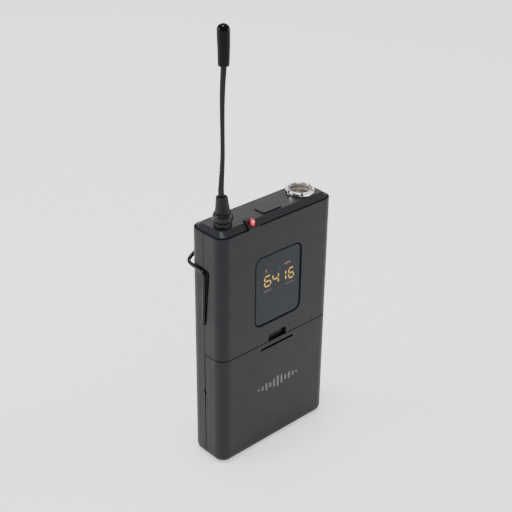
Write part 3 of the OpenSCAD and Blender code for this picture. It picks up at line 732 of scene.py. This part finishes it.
def segment_outlines(x0, x1, z0, z1, lit, thick):
    """Seven-segment digit: the outlines of its lit segments, each with pointed ends."""
    gap, h = 0.5 * thick, thick / 2
    middle_z = (z0 + z1) / 2

    def across(z):
        a, b = x0 + h + gap, x1 - h - gap
        return [(a, z), (a + h, z - h), (b - h, z - h), (b, z), (b - h, z + h), (a + h, z + h)]

    def upright(x, bottom, top):
        a, b = bottom + gap, top - gap
        return [(x, a), (x + h, a + h), (x + h, b - h), (x, b), (x - h, b - h), (x - h, a + h)]

    shapes = {
        "a": across(z1 - h), "g": across(middle_z), "d": across(z0 + h),
        "f": upright(x0 + h, middle_z, z1 - h), "b": upright(x1 - h, middle_z, z1 - h),
        "e": upright(x0 + h, z0 + h, middle_z), "c": upright(x1 - h, z0 + h, middle_z),
    }
    return [shapes[s] for s in lit]


def display_piece(name, outlines, look):
    """Lit slabs on the window, from their outlines."""
    points, faces = flat_shapes(outlines, lowest("display_lens", Y) - MARK_RISE, MARK_DEPTH)
    piece(name, points, faces, look, "case")


def make_display():
    """Lit digits, with plain marks round them that spell nothing."""
    lit = []
    for digit, left, right, foot in DIGITS:
        lit += segment_outlines(left, right, foot, foot + DIGIT_HEIGHT, SEGMENTS[digit],
                                SEGMENT_WIDTH)
    display_piece("lit_digits", lit, "glow")

    # a funnel on a stem, and a row of three blocks
    icons = [[(-7.8, 90.0), (-6.2, 90.0), (-6.8, 89.2), (-7.2, 89.2)],
             [(-7.2, 89.2), (-6.8, 89.2), (-6.8, 88.2), (-7.2, 88.2)]]
    icons += [block(3.5 + 1.25 * k, 88.8, 1.0, 0.8) for k in range(3)]
    display_piece("display_icons", icons, "icon")

    # bars under the digits, an upright line between them and a row of dashes
    dim = [block(-8.3, 79.4, 4.4, 0.8), block(-0.3, 79.3, 0.5, 0.4), block(3.8, 78.8, 5.8, 0.5),
           block(0.45, 87.6, 0.16, 2.1)]
    dim += [block(-5.9 + 1.6 * k, 88.3, 0.9, 0.16) for k in range(4)]
    display_piece("display_marks", dim, "dim")


make_display()

# ---------------------------------------------------------------- print on the door

BAR_HEIGHTS = [1.3, 2.4, 3.9, 2.8, 4.6, 6.0, 4.6, 2.8, 3.9, 2.4, 1.3]
BAR_PITCH, BAR_WIDTH = 2.3, 1.2
# middle of the print, how far it stands proud of the door, and its thickness
PRINT_X, PRINT_Z, PRINT_RISE, PRINT_DEPTH = 1.0, 30.6, 0.015, 0.04


def make_print():
    """A plain level pattern, where makers put their mark."""
    bars = []
    for i, height in enumerate(BAR_HEIGHTS):
        x = PRINT_X + (i - (len(BAR_HEIGHTS) - 1) / 2) * BAR_PITCH
        bars.append(rounded_bar(x, PRINT_Z - height / 2, BAR_WIDTH, height))
    points, faces = flat_shapes(bars, FRONT_Y - PRINT_RISE, PRINT_DEPTH)
    piece("door_level_print", points, faces, "print", "door")


make_print()

# ---------------------------------------------------------------- cells

CELL_R = 7.2


def make_cell(name, node, button_up):
    """Dry cell in place of a CAD node: a sleeve with rolled ends, its can's foot and its button.
    Each profile is given from the cell's foot upwards, and turned over when the button is down."""
    axis = middle(node, X), middle(node, Y)

    def turn(z):
        return lowest(node, Z) + z if button_up else highest(node, Z) - z

    sleeve = [(6.5, turn(0.35)), (6.9, turn(0.2))]
    sleeve += [(CELL_R - 0.28 + 0.28 * math.sin(a), turn(0.5 - 0.3 * math.cos(a)))
               for a in (math.pi / 2 * i / 5 for i in range(1, 6))]
    sleeve += [(CELL_R, turn(16.0)), (CELL_R, turn(32.0))]
    sleeve += [(CELL_R - 0.35 + 0.35 * math.cos(a), turn(48.6 + 0.6 * math.sin(a)))
               for a in (math.pi / 2 * i / 5 for i in range(6))]
    sleeve += [(6.3, turn(49.1)), (6.2, turn(48.9))]
    points, faces = turned(sleeve, 72, axis)
    piece(f"{name}_sleeve", points, faces, "sleeve", "case", replaces=[node])

    can = [(0.3, turn(0.02)), (5.9, turn(0.02)), (6.3, turn(0.12)), (6.55, turn(0.45)),
           (6.4, turn(0.8))]
    points, faces = turned(can, 64, axis)
    piece(f"{name}_foot", points, faces, "steel", "case")

    head = [(6.25, turn(48.8)), (6.2, turn(49.25)), (5.8, turn(49.4)), (5.2, turn(49.3)),
            (4.9, turn(49.0)), (3.2, turn(49.0)), (2.85, turn(49.2)), (2.7, turn(49.5)),
            (2.65, turn(50.25)), (2.4, turn(50.48)), (0.3, turn(50.48))]
    points, faces = turned(head, 64, axis)
    piece(f"{name}_button", points, faces, "steel", "case")


make_cell("cell_a", "cell_left", button_up=True)
make_cell("cell_b", "cell_right", button_up=False)

# ---------------------------------------------------------------- floor and light

# in metres; the floor lies just under the object, so that no two faces coincide
FLOOR_SIZE, FLOOR_Z = 12, -0.00002
FLOOR_GLOW, SKY_STRENGTH = 0.65, 0.58
# name, place and aim in metres, size in metres, power in watts
SOFTBOXES = [
    ("back_softbox", (0.8, 1.1, 1.0), (0, 0, 0.06), (1.6, 1.2), 7),
    ("left_softbox", (-1.4, 0.9, 0.6), (0, 0, 0.06), (1.0, 0.8), 20),
    ("front_softbox", (1.4, -0.9, 0.4), (0, 0, 0.05), (0.9, 0.6), 10),
    ("bevel_softbox", (0.96, -0.27, 1.25), (0, 0, 0.1), (0.7, 0.7), 0.9),
    ("overhead_lamp", (-0.1, 0, 1.5), (0, 0, 0.06), (0.4, 0.4), 20),
]


def make_stage():
    """Pale floor that glows a little, as an overexposed studio sweep does, and an even sky."""
    bpy.ops.mesh.primitive_plane_add(size=FLOOR_SIZE, location=(0, 0, FLOOR_Z))
    floor = bpy.context.object
    floor.name = "floor"
    look = Look("pale_floor", (0.9, 0.9, 0.9), 0.7, Emission_Color=(1, 1, 1, 1),
                Emission_Strength=FLOOR_GLOW)
    look.set("Base Color", look.mix(look.noise(400, 2.0), (0.9, 0.9, 0.9), (0.92, 0.92, 0.92)))
    floor.data.materials.append(look.material)

    world = bpy.data.worlds.new("studio")
    world.use_nodes = True
    background = world.node_tree.nodes["Background"]
    background.inputs["Color"].default_value = (1, 1, 1, 1)
    background.inputs["Strength"].default_value = SKY_STRENGTH
    bpy.context.scene.world = world


def area_light(name, at, aim, size, power):
    """Rectangular lamp at a place, facing its aim."""
    data = bpy.data.lights.new(name, "AREA")
    data.shape = "RECTANGLE"
    data.size, data.size_y = size
    data.energy = power
    light = bpy.data.objects.new(name, data)
    light.location = at
    light.rotation_euler = (Vector(aim) - Vector(at)).to_track_quat("-Z", "Y").to_euler()
    bpy.context.scene.collection.objects.link(light)


make_stage()
for softbox in SOFTBOXES:
    area_light(*softbox)
